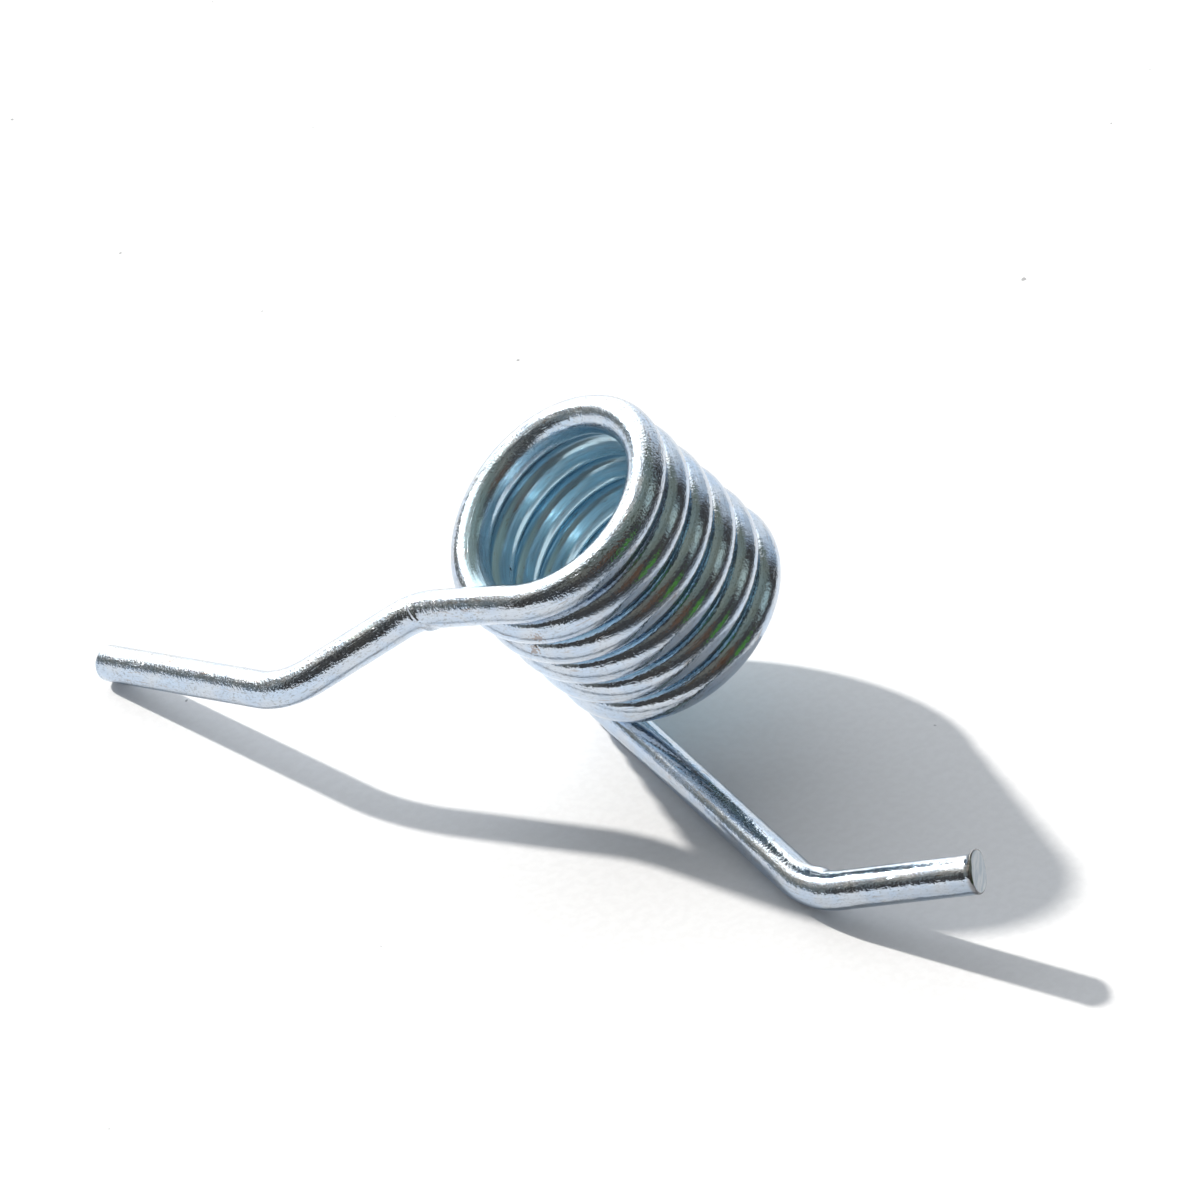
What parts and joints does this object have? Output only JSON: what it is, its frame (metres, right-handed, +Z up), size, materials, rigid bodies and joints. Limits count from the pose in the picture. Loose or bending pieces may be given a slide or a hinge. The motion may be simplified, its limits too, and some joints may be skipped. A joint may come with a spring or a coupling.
{
  "type": "torsion spring",
  "caption": "Close-wound torsion spring of bright plated round wire, left-hand, with a bent leg at each end that pushes as the coil is twisted.",
  "frame": {"origin": "on the surface that the spring lies on, under the middle of its outline seen from above", "axes": "+Z up from the surface. The lower leg's long straight runs along -Y, and the coil's axis leans in the XZ plane, from the upper leg's end down towards +X"},
  "size_m": [0.0456, 0.0708, 0.0275],
  "materials": {
    "plated_wire": "bright blue-white zinc plate over drawn spring steel"
  },
  "bodies": {
    "root": {"spring_wire": "plated_wire"}
  },
  "joints": []
}
